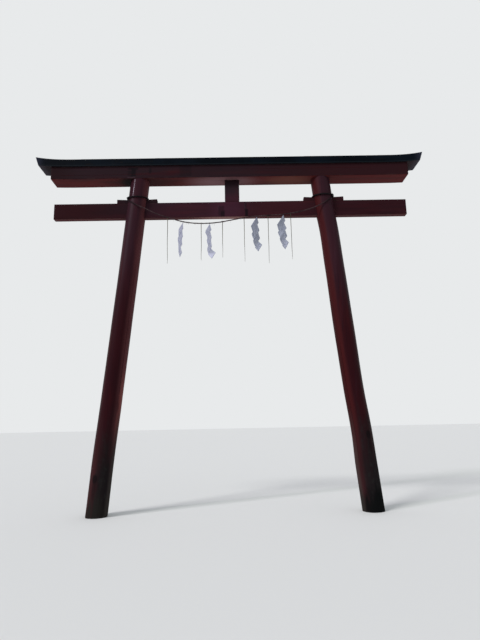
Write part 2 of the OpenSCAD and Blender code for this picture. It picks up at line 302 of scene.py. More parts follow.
def peeled_log(foot_x, run_x, crook, checks, knots, seed):
    """Points and faces of a leaning log. A check is (angle, from z, to z, depth), a knot (angle, z, size)."""
    columns = []
    for k in range(log_columns):
        angle = 2 * pi * k / log_columns
        if all(abs(remainder(angle - radians(c[0]), 2 * pi)) > check_clear for c in checks):
            columns.append((angle, None, 0.0))
    for check in checks:
        for step, depth in ((-2.4, 0.0), (-1.0, 0.0), (0.0, 1.0), (1.0, 0.0), (2.4, 0.0)):
            angle = radians(check[0]) + step * check_lip
            columns.append((angle % (2 * pi), check, depth))
    columns.sort(key=lambda column: column[0])
    rings = round(lintel_under / ring_step) + 1
    points = []
    for r in range(rings):
        z = lintel_under * r / (rings - 1)
        sideways, thicker = crooked(z, crook)
        for angle, check, depth in columns:
            radius = log_radius(z) + thicker
            if check:
                angle += 0.02 * wobble(0.0, seed, z * 1.6)
                radius -= check[3] * depth * bump_up((z - check[1]) / (check[2] - check[1]))
            c, s = cos(angle), sin(angle)
            radius += slow_growth * wobble(1.3 * c + seed, 1.3 * s, 0.8 * z)
            radius += fine_growth * wobble(5 * c, 5 * s + seed, 4 * z)
            for knot_angle, knot_z, knot_size in knots:
                away = hypot(remainder(angle - radians(knot_angle), 2 * pi) * radius,
                             (z - knot_z) * 0.7) / knot_size
                radius += knot_swell * exp(-away * away) - knot_hollow * exp(-9 * away * away)
            points.append((foot_x + run_x * z + sideways + radius * c, radius * s, z))
    return points, ring_faces(rings, len(columns))


def post_paint(name, foot_x, run_x, crook, knots, gloss, deep_from, damp_from, rim, hip_rim, foot_colour):
    """Vermilion on a post: it keeps some gloss under the lintels, carries painted light on its inner side,
    and is darker low down on one side. rim is a colour of painted light for the inner side and how squarely
    that side faces inwards, hip_rim another painted colour along the inner edge and the heights between which
    it takes over."""
    coat = vermilion(name, "Z")
    sheltered = coat.band(coat.height, 3.64, 3.8)
    coat.rough = coat.node("Mix", {0: sheltered, 2: coat.rough, 3: gloss})[0]
    coat.relief = coat.both(coat.relief, (coat.height, 3.85, 3.6))
    # Painted reflection: the upper posts are painted a paler purple, for the sky seen in the glossy paint.
    coat.lay((56, 38, 48), (coat.height, 1.9, 3.2), 0.35)
    leaning = coat.parts(coat.place)
    upright_x = coat.sum(coat.both(leaning["Z"], -run_x), leaning["X"])
    coat.place = coat.node("CombineXYZ", {0: upright_x, 1: leaning["Y"], 2: leaning["Z"]})[0]
    darker_side_x, darker_side_y = cos(radians(damp_from)), sin(radians(damp_from))
    damp = coat.sum(coat.both(coat.facing["X"], darker_side_x), coat.both(coat.facing["Y"], darker_side_y))
    darker_side = coat.band(damp, -0.3, 0.62)
    ragged = coat.sum(coat.height, coat.both(coat.grain(0.35, 0.05, 5.0, 5.0), 0.9))
    low = coat.band(ragged, 1.75, 0.75)
    coat.lay((30, 7, 12), (ragged, deep_from, deep_from - 1.0), 0.5)
    # Painted light on the inner side: rim where the post faces inwards and hip_rim along its very edge. On
    # the left post these are pale painted reflections of the bright surround, on the right a redder lit side
    # with a darker edge.
    inwards = coat.both(coat.facing["X"], 10 * run_x)
    inner = coat.band(inwards, rim[1], rim[2])
    edge = coat.band(inwards, 0.72, 0.95)
    painted_light = coat.both(inner, (coat.grain(0.5, 0.08, 5.0, 17.0), 0.1, 0.5))
    coat.lay(rim[0], coat.both(painted_light, (coat.height, 0.4, 1.0)), 0.85, 0.6)
    hip_high = coat.both((coat.height, hip_rim[1], hip_rim[2]), (coat.height, 0.7, 0.95))
    coat.lay(hip_rim[0], coat.both(painted_light, edge, hip_high), 0.6)
    # Darker low down on one side and redder low down on the other, with mould on the darker side.
    coat.lay((25, 22, 23), coat.both(low, darker_side), 0.93, 0.8)
    coat.lay((60, 32, 33), coat.both(low, (damp, 0.5, -0.3)), 0.6, 0.75)
    mould = coat.band(coat.cloud((0.03, 0.03, 0.06), 6.0, 2.0), 0.5, 0.66)
    coat.lay((35, 34, 33), coat.both(low, darker_side, mould), 0.6, 0.9)
    foot = coat.band(ragged, 0.78, 0.5)
    coat.lay(foot_colour, foot, 0.92, 0.95)
    # Painted reflection: the inner edge is painted pale grey low down.
    coat.lay((68, 62, 58), coat.both(edge, low), 0.4)
    for knot in knots:
        angle = radians(knot[0])
        sideways, thicker = crooked(knot[1], crook)
        radius = log_radius(knot[1]) + thicker
        x, y, z = foot_x + sideways + radius * cos(angle), radius * sin(angle), knot[1]
        coat.lay((14, 9, 11), coat.spot((x, y, z), (0.03, 0.03, 0.045)), 0.85, 0.7)
        coat.lay((22, 11, 14), coat.spot((x, y, z - 0.1), (0.022, 0.03, 0.12)), 0.5, 0.7)
    return coat.done(Specular_IOR_Level=0.05)


def make_post(which, crook, checks, knots, seed, **look):
    """One of the two posts, with its slot for the tie beam and the seats of its wedges."""
    end_name, foot_x, run_x = posts[which]
    name = "post_" + end_name
    points, faces = peeled_log(foot_x, run_x, crook, checks, knots, seed)
    finish = post_paint(name + "_paint", foot_x, run_x, crook, knots, **look)
    post = make_piece(name + "_log", points, faces, finish, [name])
    beam_top = beam_high.z
    axis_x = foot_x + run_x * beam_top
    reach = 3 * foot_radius
    cut_slot(post, axis_x - reach, axis_x + reach, beam_low.z - slot_slack, (beam_top, beam_top),
             beam_high.y + slot_slack)
    face = log_radius(beam_top)
    tops = [beam_top + wedge_rise + wedge_slope * out + slot_slack for out in (-wedge_inside, wedge_outside)]
    for side in (-1, 1):
        cut_slot(post, axis_x + side * (face - wedge_inside), axis_x + side * (face + wedge_outside),
                 beam_top - seat_depth, tops, wedge_half + slot_slack)


left_crook = [(0.0, -0.007, 0.0), (0.6, -0.012, 0.0), (1.3, -0.006, 0.0), (2.2, -0.003, 0.0), (2.8, 0.0, 0.0)]
right_crook = [(0.0, 0.0, 0.0), (0.45, 0.001, 0.001), (0.85, 0.009, -0.004), (1.4, -0.003, -0.005),
               (2.1, 0.0, 0.0), (2.8, 0.007, -0.002), (3.25, 0.012, -0.003), (3.62, 0.0, 0.0)]
left_checks = [(-38, 1.3, 2.9, 0.006), (64, 0.2, 2.2, 0.008), (171, 1.9, 3.4, 0.006)]
right_checks = [(-142, 0.5, 1.9, 0.006), (22, 1.2, 3.2, 0.007), (105, 0.1, 2.6, 0.008)]
left_knots = [(-109, 0.41, 0.034), (38, 2.35, 0.026), (95, 1.2, 0.034)]
right_knots = [(-66, 0.83, 0.038), (140, 2.9, 0.026), (60, 1.9, 0.034)]
make_post(0, left_crook, left_checks, left_knots, seed=3.1,
          gloss=0.17, deep_from=3.7, damp_from=-20, rim=((86, 46, 48), 0.4, 0.95),
          hip_rim=((130, 72, 66), 1.75, 1.2), foot_colour=(34, 31, 29))
make_post(1, right_crook, right_checks, right_knots, seed=8.7,
          gloss=0.4, deep_from=3.1, damp_from=-45, rim=((62, 18, 19), 0.3, 0.62),
          hip_rim=((44, 12, 14), 2.6, 2.2), foot_colour=(10, 12, 12))

# Tie beam
# A planed plank on edge that passes through both posts and runs on beyond them, wedged from above. Its
# front has two damp stains near the middle, where rain runs off the strut.
beam_step = 0.02
arris = 0.004
split_lip = 0.0013
end_roughness = 0.0012


def squared_ring(half, low, top, splits, across, high):
    """Once round a squared timber with eased arrises: (y, z, outward y, outward z, wear, split)."""
    flat_y, flat_z = 2 * (half - arris), top - low - 2 * arris
    sides = [("front", (-half, top - arris), (0, -1), flat_z, (-1, 0), high),
             ("under", (-half + arris, low), (1, 0), flat_y, (0, -1), across),
             ("back", (half, low + arris), (0, 1), flat_z, (1, 0), high),
             ("top", (half - arris, top), (-1, 0), flat_y, (0, 1), across)]
    ring = []
    for number, (side, start, way, length, out, parts) in enumerate(sides):
        shares = [(k / parts, None) for k in range(parts + 1)]
        lip = split_lip / length
        for split in splits:
            if split[0] == side:
                shares = [s for s in shares if abs(s[0] - split[1]) > 3 * lip]
                shares += [(split[1] - lip, None), (split[1], split), (split[1] + lip, None)]
        for share, split in sorted(shares, key=lambda s: s[0]):
            y, z = [start[i] + way[i] * length * share for i in (0, 1)]
            ring.append((y, z, *out, 0.6 if share in (0.0, 1.0) else 0.0, split))
        following = sides[(number + 1) % 4][4]
        hub = [start[i] + way[i] * length - arris * out[i] for i in (0, 1)]
        for angle in (pi / 6, pi / 3):
            turned = [out[i] * cos(angle) + following[i] * sin(angle) for i in (0, 1)]
            ring.append((hub[0] + arris * turned[0], hub[1] + arris * turned[1], *turned, 1.0, None))
    return ring


def squared_timber(name, ends, section, finish, stands_for, splits=(), place=None, across=7, high=14,
                   seed=0.0, step=beam_step, swell=0.0008):
    """A planed timber between two ends. section(t) gives its half width, underside and top at t."""
    start, end = ends
    plain = end - start - 2 * arris
    count = max(4, round(plain / step))
    stations = [(start, arris), (start + 0.3 * arris, 0.3 * arris)]
    stations += [(start + arris + plain * k / count, 0.0) for k in range(count + 1)]
    stations += [(end - 0.3 * arris, 0.3 * arris), (end, arris)]
    wear_and_glint_values, rings, caps = [], [], []
    for t, inset in stations:
        ring = []
        for y, z, out_y, out_z, wear_and_glint, split in squared_ring(*section(t), splits, across, high):
            push = swell * wobble(0.9 * t + seed, 4 * y, 4 * z)
            push += 0.0003 * wobble(6 * t, 70 * y + seed, 70 * z) - swell / 2 - inset
            if split:
                push -= split[4] * bump_up((t - split[2]) / (split[3] - split[2]))
            ring.append((t, y + push * out_y, z + push * out_z))
            wear_and_glint_values.append(max(wear_and_glint, 0.8 if inset else 0.0))
        rings.append(ring)
    for ring, way in ((rings[0], end_roughness), (rings[-1], -end_roughness)):
        middle = sum(p[2] for p in ring) / len(ring)
        for share in (0.85, 0.6, 0.3):
            caps.append([(t + way * abs(wobble(seed, 30 * y * share, 30 * z)), y * share,
                          middle + (z - middle) * share) for t, y, z in ring])
    ordered = caps[2::-1] + rings + caps[3:]
    points = [place(*p) if place else p for ring in ordered for p in ring]
    cap_wears = [0.0] * 3 * len(ring)
    return make_piece(name, points, ring_faces(len(ordered), len(ring)), finish, stands_for,
                      {"wear_and_glint": cap_wears + wear_and_glint_values + cap_wears})


def beam_paint(name, run="X", dark_marks=(), deep_share=0.5, dirt_and_shade_film=0.5, under=(88, 30, 30), painted_light=(), face_patches=()):
    """Vermilion on a squared timber under a coat of dirt, laid thicker as painted shade on shaded pieces:
    dusty on top, painted paler underneath as painted light from the ground, rubbed thin along the arrises."""
    coat = vermilion(name, run, deep_share, 0.25)
    coat.lay((38, 11, 15), (coat.grain(2.2, 0.03, 5.0, 21.0), 0.47, 0.62), 0.3)
    coat.lay((31, 24, 29), (coat.cloud((0.5, 0.2, 0.08), 5.0, 31.0), 0.05, 0.48), dirt_and_shade_film, 0.6)
    # Painted light: undersides are painted paler in streaks, for light thrown up from the ground.
    bounce_light_streaks = coat.band(coat.grain(0.8, 0.1, 5.0, 14.0), 0.15, 0.5)
    below = coat.band(coat.facing["Z"], -0.5, -0.95)
    in_front = coat.band(coat.facing["Y"], -0.5, -0.9)
    coat.lay(under, coat.both(below, bounce_light_streaks), 0.85, 0.6)
    # Patches of painted light and shade under the timber, and patches on its front.
    for patches, side in ((painted_light, below), (face_patches, in_front)):
        for colour, share, centre, size in patches:
            coat.lay(colour, coat.both(coat.spot(centre, size, 0.3, 0.6), side), share, 0.7)
    for colour, share, low, high in dark_marks:
        coat.lay(colour, coat.both(coat.patch(low, high), in_front), share, 0.7)
    rubbed = coat.both(coat.mark("wear_and_glint"), (coat.grain(0.12, 0.02, 5.0, 9.0), 0.52, 0.64))
    coat.lay((64, 48, 45), rubbed, 0.5, 0.8)
    dusty = coat.band(coat.cloud(0.1, 5.0), 0.3, 0.6)
    dust = coat.both((coat.facing["Z"], 0.55, 0.9), dusty)
    coat.lay((50, 46, 36), dust, 0.85, 0.95)
    return coat.done(Specular_IOR_Level=0.04)


dark_mark = (16, 12, 16)
pale = (64, 50, 56)
beam_dark_marks = [(dark_mark, 0.45, (1.372, 3.484), (1.446, 3.61)), (dark_mark, 0.6, (1.404, 3.47), (1.452, 3.545)),
               (pale, 0.4, (1.366, 3.56), (1.374, 3.63)), (dark_mark, 0.55, (1.694, 3.56), (1.722, 3.655)),
               (dark_mark, 0.85, (1.702, 3.47), (1.738, 3.565)), (pale, 0.6, (1.697, 3.57), (1.704, 3.65))]
# Painted light: a pale patch under the middle of the tie beam, for light thrown up from the ground.
beam_under_light = [((140, 104, 100), 0.9, (1.45, 0.0, 3.47), (0.3, 0.06, 0.03))]
# Patches on the tie beam's front; the purple ones are painted reflection of the sky.
beam_face_patches = [(colour, share, (x, -0.04, 3.57), (half, 0.06, 0.2)) for colour, share, x, half in (
    ((38, 9, 12), 0.6, -0.55, 0.5), ((66, 36, 50), 0.25, 1.1, 0.7), ((72, 37, 54), 0.35, 1.5, 0.2),
    ((66, 26, 32), 0.45, 2.15, 0.42))]
beam_splits = [("front", 0.62, 2.05, 2.9, 0.004), ("front", 0.3, 3.25, 3.69, 0.005),
               ("back", 0.45, -0.3, 1.1, 0.005), ("under", 0.5, 0.7, 1.9, 0.004)]
squared_timber("nuki_plank", (beam_low.x, beam_high.x), lambda t: (beam_high.y, beam_low.z, beam_high.z),
               beam_paint("nuki_paint", dark_marks=beam_dark_marks, deep_share=0.7, dirt_and_shade_film=0.35, under=(84, 44, 46),
                          painted_light=beam_under_light, face_patches=beam_face_patches), ["nuki_tie_beam"], beam_splits, seed=1.7)

# Wedges
# Four tapered blocks driven in over the tie beam, one from each side of each post, and painted with it.
# Their outer ends are bruised by the mallet.
wedge_paint = beam_paint("wedge_paint", deep_share=0.8)
face = log_radius(beam_high.z)
for end_name, foot_x, run_x in posts:
    axis_x = foot_x + run_x * beam_high.z
    for side in (-1, 1):
        node = f"wedge_{end_name}_{'outer' if side * run_x < 0 else 'inner'}"
        squared_timber(
            node + "_block", (face - wedge_inside, face + wedge_outside),
            lambda t: (wedge_half, beam_high.z, beam_high.z + wedge_rise + wedge_slope * (t - face)),
            wedge_paint, [node], place=lambda t, y, z: (axis_x + side * t, y, z), across=5, high=5,
            step=0.01, seed=axis_x + side, swell=0.0015)

# Centre strut
# A short board stood on the tie beam, a little right of the middle, that carries the lintels' middle. It is
# tenoned into both and flush with the tie beam's face.
strut_low, strut_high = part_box("centre_strut")
strut_middle = (strut_low.x + strut_high.x) / 2
# Patches on the strut's front: the purple ones are painted reflection of the sky, and the dark one at its top
# is painted shade under the lower lintel.
strut_face_patches = [(colour, share, (strut_middle, strut_low.y, z), (0.2, 0.1, half))
               for colour, share, z, half in (
                   ((48, 36, 42), 0.4, 3.82, 0.1), ((60, 30, 40), 0.6, 3.68, 0.08),
                   ((18, 9, 15), 0.5, 3.96, 0.08))]
squared_timber("strut_board", (beam_high.z, lintel_under),
               lambda t: (strut_high.y, strut_low.x - strut_middle, strut_high.x - strut_middle),
               beam_paint("strut_paint", "Z", deep_share=0.7, dirt_and_shade_film=0.6, face_patches=strut_face_patches), ["centre_strut"],
               place=lambda t, y, z: (strut_middle + z, y, t), seed=5.3)

# Lower lintel
# A heavy squared beam that sits on the tenons of both posts. Its ends are cut square and turn up very
# slightly. It has dark marks on its front near the left end.
lintel_low, lintel_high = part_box("shimaki_lower_lintel")
curve_start = 1.85
lintel_reach = (lintel_high.x - lintel_low.x) / 2
lintel_rise = 0.005
cap_under = 4.125
cap_reach = 2.366
cap_rise = 0.021


def curve_up(distance, reach, rise):
    """How far a lintel has risen at a distance from its middle."""
    return rise * (max(0.0, distance - curve_start) / (reach - curve_start)) ** 3


lintel_dark_marks = [(dark_mark, 0.5, (0.262, 3.99), (0.31, 4.06)), (dark_mark, 0.85, (0.306, 3.985), (0.36, 4.085)),
                 # The pale line along the lower arris of the marks by the left post is a painted highlight.
                 (dark_mark, 0.8, (0.262, 4.075), (0.385, 4.1)), (pale, 0.6, (0.258, 3.967), (0.35, 3.978)),
                 (dark_mark, 0.6, (0.521, 4.02), (0.552, 4.1)), (dark_mark, 0.35, (0.9, 3.98), (1.05, 4.13)),
                 (dark_mark, 0.8, (1.402, 4.055), (1.425, 4.078)), (pale, 0.35, (1.407, 4.061), (1.42, 4.072))]
# Painted light and shade under the lower lintel: dark by the left post, partly dirt and partly painted shade,
# and pale further along, painted light thrown up from the ground.
lintel_under_light = [(colour, share, (x, 0.0, 3.96), (half, 0.14, 0.03)) for colour, share, x, half in (
    ((50, 22, 24), 0.9, 0.45, 0.42), ((18, 14, 15), 0.9, 0.27, 0.1), ((124, 94, 98), 0.8, 1.42, 0.36),
    ((104, 62, 52), 0.7, 2.25, 0.25))]
lintel_face_patches = [((28, 9, 10), 0.6, (-0.85, -0.11, 4.05), (0.4, 0.2, 0.4)),
                ((44, 14, 16), 0.5, (3.2, -0.11, 4.05), (1.1, 0.2, 0.4))]
lintel_splits = [("front", 0.7, -0.6, 0.5, 0.005), ("front", 0.35, 1.7, 3.3, 0.004),
                 ("back", 0.5, 0.2, 1.9, 0.006), ("under", 0.4, 0.9, 1.5, 0.005)]
# The lower lintel's heavy dark coat of dirt is partly painted shade from the casing above it.
squared_timber(
    "shimaki_beam", (lintel_low.x, lintel_high.x),
    lambda t: (lintel_high.y, lintel_under + curve_up(abs(t - gate_middle), lintel_reach, lintel_rise),
               cap_under + curve_up(abs(t - gate_middle), cap_reach, cap_rise)),
    beam_paint("shimaki_paint", dark_marks=lintel_dark_marks, deep_share=0.7, dirt_and_shade_film=0.72, painted_light=lintel_under_light,
               face_patches=lintel_face_patches),
    ["shimaki_lower_lintel"], lintel_splits, across=16, high=12, seed=9.1)

# Upper lintel
# The timber under the metal casing. Only its underside shows, beyond the lower lintel's faces and ends,
# as bare grey wood with the last of its paint.
def repaint(node, finish):
    """Gives a CAD node that stays as it is a finish of its own."""
    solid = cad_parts[node]
    solid.data.materials.clear()
    solid.data.materials.append(finish)
    return solid


bare = Finish("kasagi_wood", (40, 31, 35), 0.8)
bare.lay((25, 20, 23), (bare.grain(0.8, 0.012, 5.0), 0.42, 0.66), 0.7)
bare.lay((44, 20, 24), (bare.cloud((0.4, 0.2, 0.2), 5.0, 4.0), 0.5, 0.62), 0.55, 0.6)
bare.lay((17, 15, 18), (bare.cloud((0.12, 0.06, 0.06), 5.0, 9.0), 0.54, 0.7), 0.6)
# Painted light: the underside is painted paler at the far ends, where it is open to the light, and darker
# along the faces, where the casing shades it.
bare.lay((66, 62, 70), bare.near_ends(2.26, 2.38), 0.8)
bare.raise_by(bare.grain(0.5, 0.004), 0.9)
repaint("kasagi_upper_lintel", bare.done(Specular_IOR_Level=0.1))

# Metal casing
# Painted sheet metal folded over the upper lintel in lapped lengths: an upright face with a rolled hem at
# its foot, a slope up to the ridge, a plate at each slanting end, and a strip over the ridge joint.
face_height = 0.092
face_thicken = 0.015
end_slant = 0.035
ridge_rise = 0.036
cap_half = 0.127
sheet = 0.004
hem_height = 0.012
hem_out = 0.004
hem_roll = 0.003
lap_length = 0.914
lap_lift = 0.0009
lap_gap = 0.00012
eave_bend = 0.004
fold_round = 0.0012
dent_depth = 0.0006
weld_reach = 0.00002
sheet_step = 0.03
roof_slope = ridge_rise / cap_half


def casing_paint():
    """Slate-blue paint on metal, dull and streaked by rain, dusty on the slopes, rubbed paler at the hem,
    where it is also painted lighter as painted light on the rolled fold.
    """
    coat = Finish("casing_paint", (6, 13, 21), 0.5)
    coat.lay((2, 4, 8), (coat.cloud((0.5, 0.3, 0.2), 4.0), 0.42, 0.6), 0.7)
    coat.lay((14, 20, 26), (coat.cloud((0.025, 0.1, 0.3), 4.0, 5.0), 0.52, 0.72), 0.35, 0.6)
    coat.lay((26, 22, 20), (coat.cloud((0.09, 0.09, 0.04), 6.0, 8.0), 0.62, 0.74), 0.4, 0.75)
    coat.lay((44, 47, 60), coat.near_ends(2.28, 2.43), 0.9)
    # Partly real and partly painted light: the hem and eave folds are painted lighter, for rubbed paint and
    # for light caught on the folds.
    coat.lay((28, 34, 38), (coat.mark("wear_and_glint"), 0.2, 1.0), 0.5, 0.5)
    upward = coat.band(coat.facing["Z"], 0.6, 0.95)
    dust = coat.band(coat.cloud((0.05, 0.3, 0.1), 6.0), 0.2, 0.75)
    coat.lay((52, 52, 42), coat.both(upward, dust), 0.7, 0.9)
    moss = coat.band(coat.cloud(0.04, 6.0, 3.0), 0.6, 0.72)
    coat.lay((48, 56, 26), coat.both(upward, moss), 0.5, 0.95)
    coat.raise_by(coat.cloud((0.15, 0.1, 0.08), 2.0), 1.2)
    coat.raise_by(coat.cloud(0.006, 4.0), 0.12)
    return coat.done(Specular_IOR_Level=0.03)


def cap_spot(share, y, z):
    """A point of the casing: the higher it lies, the further out the slanting ends reach."""
    slope = end_slant / (face_height + face_thicken)
    return gate_middle + share * (cap_reach + slope * (z - cap_under - cap_rise)), y, z


def cap_heights(share):
    """The casing's foot and eave at a share of its half length."""
    away = abs(share) * cap_reach
    foot = cap_under + curve_up(away, cap_reach, cap_rise)
    return foot, foot + face_height + curve_up(away, cap_reach, face_thicken)


def casing_outline(lift):
    """Round one sheet, from its hidden foot over the timber to the ridge, and back down outside to the hem:
    (outward y, height, what it is measured from, wear)."""
    skin = sheet - lap_lift + lift
    outer = cap_half + skin
    hem = cap_half + sheet + hem_out
    outline = [(cap_half, 0, "foot", 0), (cap_half, 0, "eave", 0), (0, ridge_rise, "eave", 0)]
    for k in range(6):
        out = cap_half * k / 6
        outline.append((out, ridge_rise + skin - roof_slope * out, "eave", 0))
    outline += [(outer - 0.003, skin * (1 - roof_slope) + 0.0009, "eave", 0.3),
                (outer - 0.0006, -0.0002, "eave", 0.4), (outer, -eave_bend, "eave", 0.1)]
    outline += [(outer, k / 6, "face", 0) for k in range(1, 6)]
    outline += [(outer, hem_height, "foot", 0.2),
                (hem - fold_round, hem_height - fold_round, "foot", 0.8),
                (hem, hem_height - 1.5 * hem_roll, "foot", 1), (hem, hem_roll, "foot", 1),
                (hem - fold_round, 0.0, "foot", 0.6)]
    return outline


def casing_sheets(node, side):
    """Lapped sheets along one side of the upper lintel: side is -1 for the front, 1 for the back."""
    edges = [-1.0] + [k * lap_length / cap_reach for k in range(-2, 3)] + [1.0]
    stations = []
    for left, right in zip(edges, edges[1:]):
        parts = max(2, round((right - left) * cap_reach / sheet_step))
        stations += [(left + (right - left) * k / parts + (lap_gap if k == 0 else 0), 1 - k / parts)
                     for k in range(parts + 1)]
    points, wear_and_glint_values = [], []
    for share, raised in stations:
        foot, eave = cap_heights(share)
        outline = casing_outline(lap_lift * raised ** 3)
        for out, height, datum, wear_and_glint in outline:
            z = height + (eave if datum == "eave" else foot)
            if datum == "face":
                z = eave - eave_bend - (eave - eave_bend - foot - hem_height) * height
                out -= dent_depth * (1 + wobble(4 * share * cap_reach, 9 * z, side))
            points.append(cap_spot(share, side * out, z))
            wear_and_glint_values.append(wear_and_glint)
    make_piece(node + "_sheets", points, ring_faces(len(stations), len(outline)), sheet_paint,
               [node], {"wear_and_glint": wear_and_glint_values}, 25)


sheet_paint = casing_paint()
casing_sheets("casing_front", -1)
casing_sheets("casing_back", 1)
for node in ("casing_end_left", "casing_end_right", "casing_ridge_strip"):
    plate = repaint(node, sheet_paint)
    weld = plate.modifiers.new("weld", "WELD")
    weld.merge_threshold = weld_reach
    fold = plate.modifiers.new("fold", "BEVEL")
    fold.width, fold.segments, fold.limit_method = fold_round, 2, "ANGLE"

# Casing nails
# Small domed nails that hold the sheets to the timber, in a row over the hem and along both edges of the
# strip on the ridge. They are galvanised and painted over.
nail_radius = 0.0038
nail_dome = 0.0016
nail_spacing = 0.152
nail_above_foot = 0.022
nail_from_ridge = 0.028


class Heap:
    """Small parts gathered into one mesh, each with its own tone from 0 to 1."""

    def __init__(self):
        self.points, self.faces, self.tones = [], [], []

    def add(self, points, faces, tone=0.5):
        first = len(self.points)
        self.points += [tuple(p) for p in points]
        self.faces += [[first + k for k in face] for face in faces]
        self.tones += [tone] * len(points)

    def piece(self, name, finish, slot="straw", stands_for=()):
        return make_piece(name, self.points, self.faces, finish, stands_for, {"tone": self.tones}, 50)


def out_at(angle, side, beside):
    """The way out from an axis at an angle between two ways across it."""
    return cos(angle) * side + sin(angle) * beside


def nail_head(place, out):
    """A dome on a surface that faces out."""
    out = Vector(out).normalized()
    across = out.orthogonal().normalized()
    beside = out.cross(across)
    points = []
    for radius, rise in ((1.0, -0.4), (1.0, 0.25), (0.6, 0.8)):
        for k in range(8):
            rim = nail_radius * radius * out_at(k * pi / 4, across, beside)
            points.append(Vector(place) + rim + nail_dome * rise * out)
    return points, ring_faces(3, 8)


nails = Heap()
for k in range(-15, 16):
    share = k * nail_spacing / cap_reach
    foot, eave = cap_heights(share)
    for side in (-1, 1):
        low_nail = cap_spot(share, side * (cap_half + sheet - lap_lift), foot + nail_above_foot)
        nails.add(*nail_head(low_nail, (0, side, 0)))
        top = eave + ridge_rise + 2 * sheet - roof_slope * nail_from_ridge
        nails.add(*nail_head(cap_spot(share, side * nail_from_ridge, top), (0, side * roof_slope, 1)))
nails.piece("casing_nails", sheet_paint, "casing_sheet")

# Straw rope
# Three strands of rice straw twisted into a thin rope, hung in a long curve in front of the gate, with
# stray straws standing out of it. Weather has turned it grey. Round the posts it is nearly black, partly dirt
# and partly painted shade.
rope_diameter = 0.014
rope_lay = 0.05
rope_y = -0.128
# A strand's distance from the rope's middle and its own radius, as shares of the rope's radius
strand_out = 0.47
strand_size = 0.52
stray_length = 0.03
rope_route = [
    (0.262, -0.072, 3.696), (0.276, -0.089, 3.680), (0.298, -0.107, 3.660), (0.328, -0.121, 3.637),
    (0.362, -0.127, 3.614), (0.400, -0.128, 3.594), (0.450, -0.128, 3.573), (0.510, -0.128, 3.543),
    (0.580, -0.128, 3.505), (0.660, -0.128, 3.470), (0.750, -0.128, 3.438), (0.850, -0.128, 3.405),
    (0.960, -0.128, 3.373), (1.090, -0.128, 3.355), (1.230, -0.128, 3.351), (1.370, -0.128, 3.361),
    (1.510, -0.128, 3.384), (1.660, -0.128, 3.411), (1.810, -0.128, 3.431), (1.960, -0.128, 3.442),
    (2.110, -0.128, 3.449), (2.250, -0.128, 3.464), (2.370, -0.128, 3.487), (2.470, -0.128, 3.514),
    (2.560, -0.128, 3.546), (2.640, -0.128, 3.586), (2.688, -0.127, 3.614), (2.722, -0.121, 3.637),
    (2.752, -0.107, 3.660), (2.774, -0.089, 3.680), (2.788, -0.072, 3.696)]


def straw_finish(name, colour, dark, pale, black_near=()):
    """Dry straw: each strand has its own tone, with darker damp stretches and paler split stems."""
    straw = Finish(name, colour, 0.85)
    straw.lay(pale, (straw.mark("tone"), 0.35, 1.0), 0.6)
    straw.lay(dark, (straw.cloud(0.12, 4.0), 0.46, 0.66), 0.7)
    straw.lay(dark, (straw.cloud(0.0025, 3.0), 0.5, 0.7), 0.6)
    for place, size in black_near:
        straw.lay(dark, straw.spot(place, size, 0.4, 0.5), 0.85)
    straw.raise_by(straw.cloud(0.0016, 2.0), 0.9)
    return straw.done(Specular_IOR_Level=0.1)


def smooth_route(route, step):
    """A smooth curve through the points of a route, with points about step apart."""
    route = [Vector(p) for p in route]
    padded = [2 * route[0] - route[1]] + route + [2 * route[-1] - route[-2]]
    line = []
    for a, b, c, d in zip(padded, padded[1:], padded[2:], padded[3:]):
        parts = max(1, round((c - b).length / step))
        for k in range(parts):
            t = k / parts
            line.append(0.5 * (2 * b + (c - a) * t + (2 * a - 5 * b + 4 * c - d) * t * t
                               + (3 * b - a - 3 * c + d) * t ** 3))
    return line + [route[-1]]


def headings(line):
    return [(line[min(k + 1, len(line) - 1)] - line[max(k - 1, 0)]).normalized() for k in range(len(line))]


def tube(line, radii, sides):
    """Points and faces of a tube along a line, with a radius for each of its points."""
    ways = headings(line)
    side = ways[0].orthogonal().normalized()
    points = []
    for place, way, radius in zip(line, ways, radii):
        side = (side - way * side.dot(way)).normalized()
        beside = way.cross(side)
        points += [place + radius * out_at(2 * pi * k / sides, side, beside) for k in range(sides)]
    return points, ring_faces(len(line), sides)


def twisted_strand(line, offset, lay, phase, seed):
    """The line that one strand takes round the middle of a rope."""
    run, strand = 0.0, []
    for k, (place, way) in enumerate(zip(line, headings(line))):
        run += (place - line[k - 1]).length if k else 0.0
        side = way.cross(Vector((0, 0, 1))).normalized()
        turn = 2 * pi * run / lay + phase
        out = offset * (1 + 0.12 * wobble(run * 30, seed, phase))
        strand.append(place + out * out_at(turn, side, way.cross(side)))
    return strand


def rope_strands(heap, line, diameter, lay, seed, sides=9):
    """Three strands, a little uneven, that fill a rope of that diameter."""
    radius = diameter / 2
    for k in range(3):
        strand = twisted_strand(line, strand_out * radius, lay, 2 * pi * k / 3, seed)
        radii = [radius * (strand_size + 0.05 * wobble(n * 0.5, seed, k)) for n in range(len(strand))]
        heap.add(*tube(strand, radii, sides), tone=(0.2, 0.5, 0.8)[k])


def stray_straws(heap, line, radius, count, length, dice):
    """Thin stems that stand out of a rope, most of them along its lay."""
    ways = headings(line)
    for _ in range(count):
        k = dice.randrange(2, len(line) - 2)
        out = Vector([dice.uniform(-1, 1) for _ in range(3)])
        out = (out - ways[k] * out.dot(ways[k])).normalized()
        lie = ways[k] * dice.choice((-1, 1))
        reach = length * dice.uniform(0.4, 1.0)
        drop = Vector((0, 0, -0.3 * reach))
        stem = [line[k] + out * radius * 0.7]
        stem.append(stem[0] + lie * reach * 0.5 + out * reach * 0.25)
        stem.append(stem[0] + lie * reach * 0.8 + out * reach * dice.uniform(0.4, 0.8) + drop)
        heap.add(*tube(stem, (0.0009, 0.0008, 0.0003), 4), tone=dice.random())


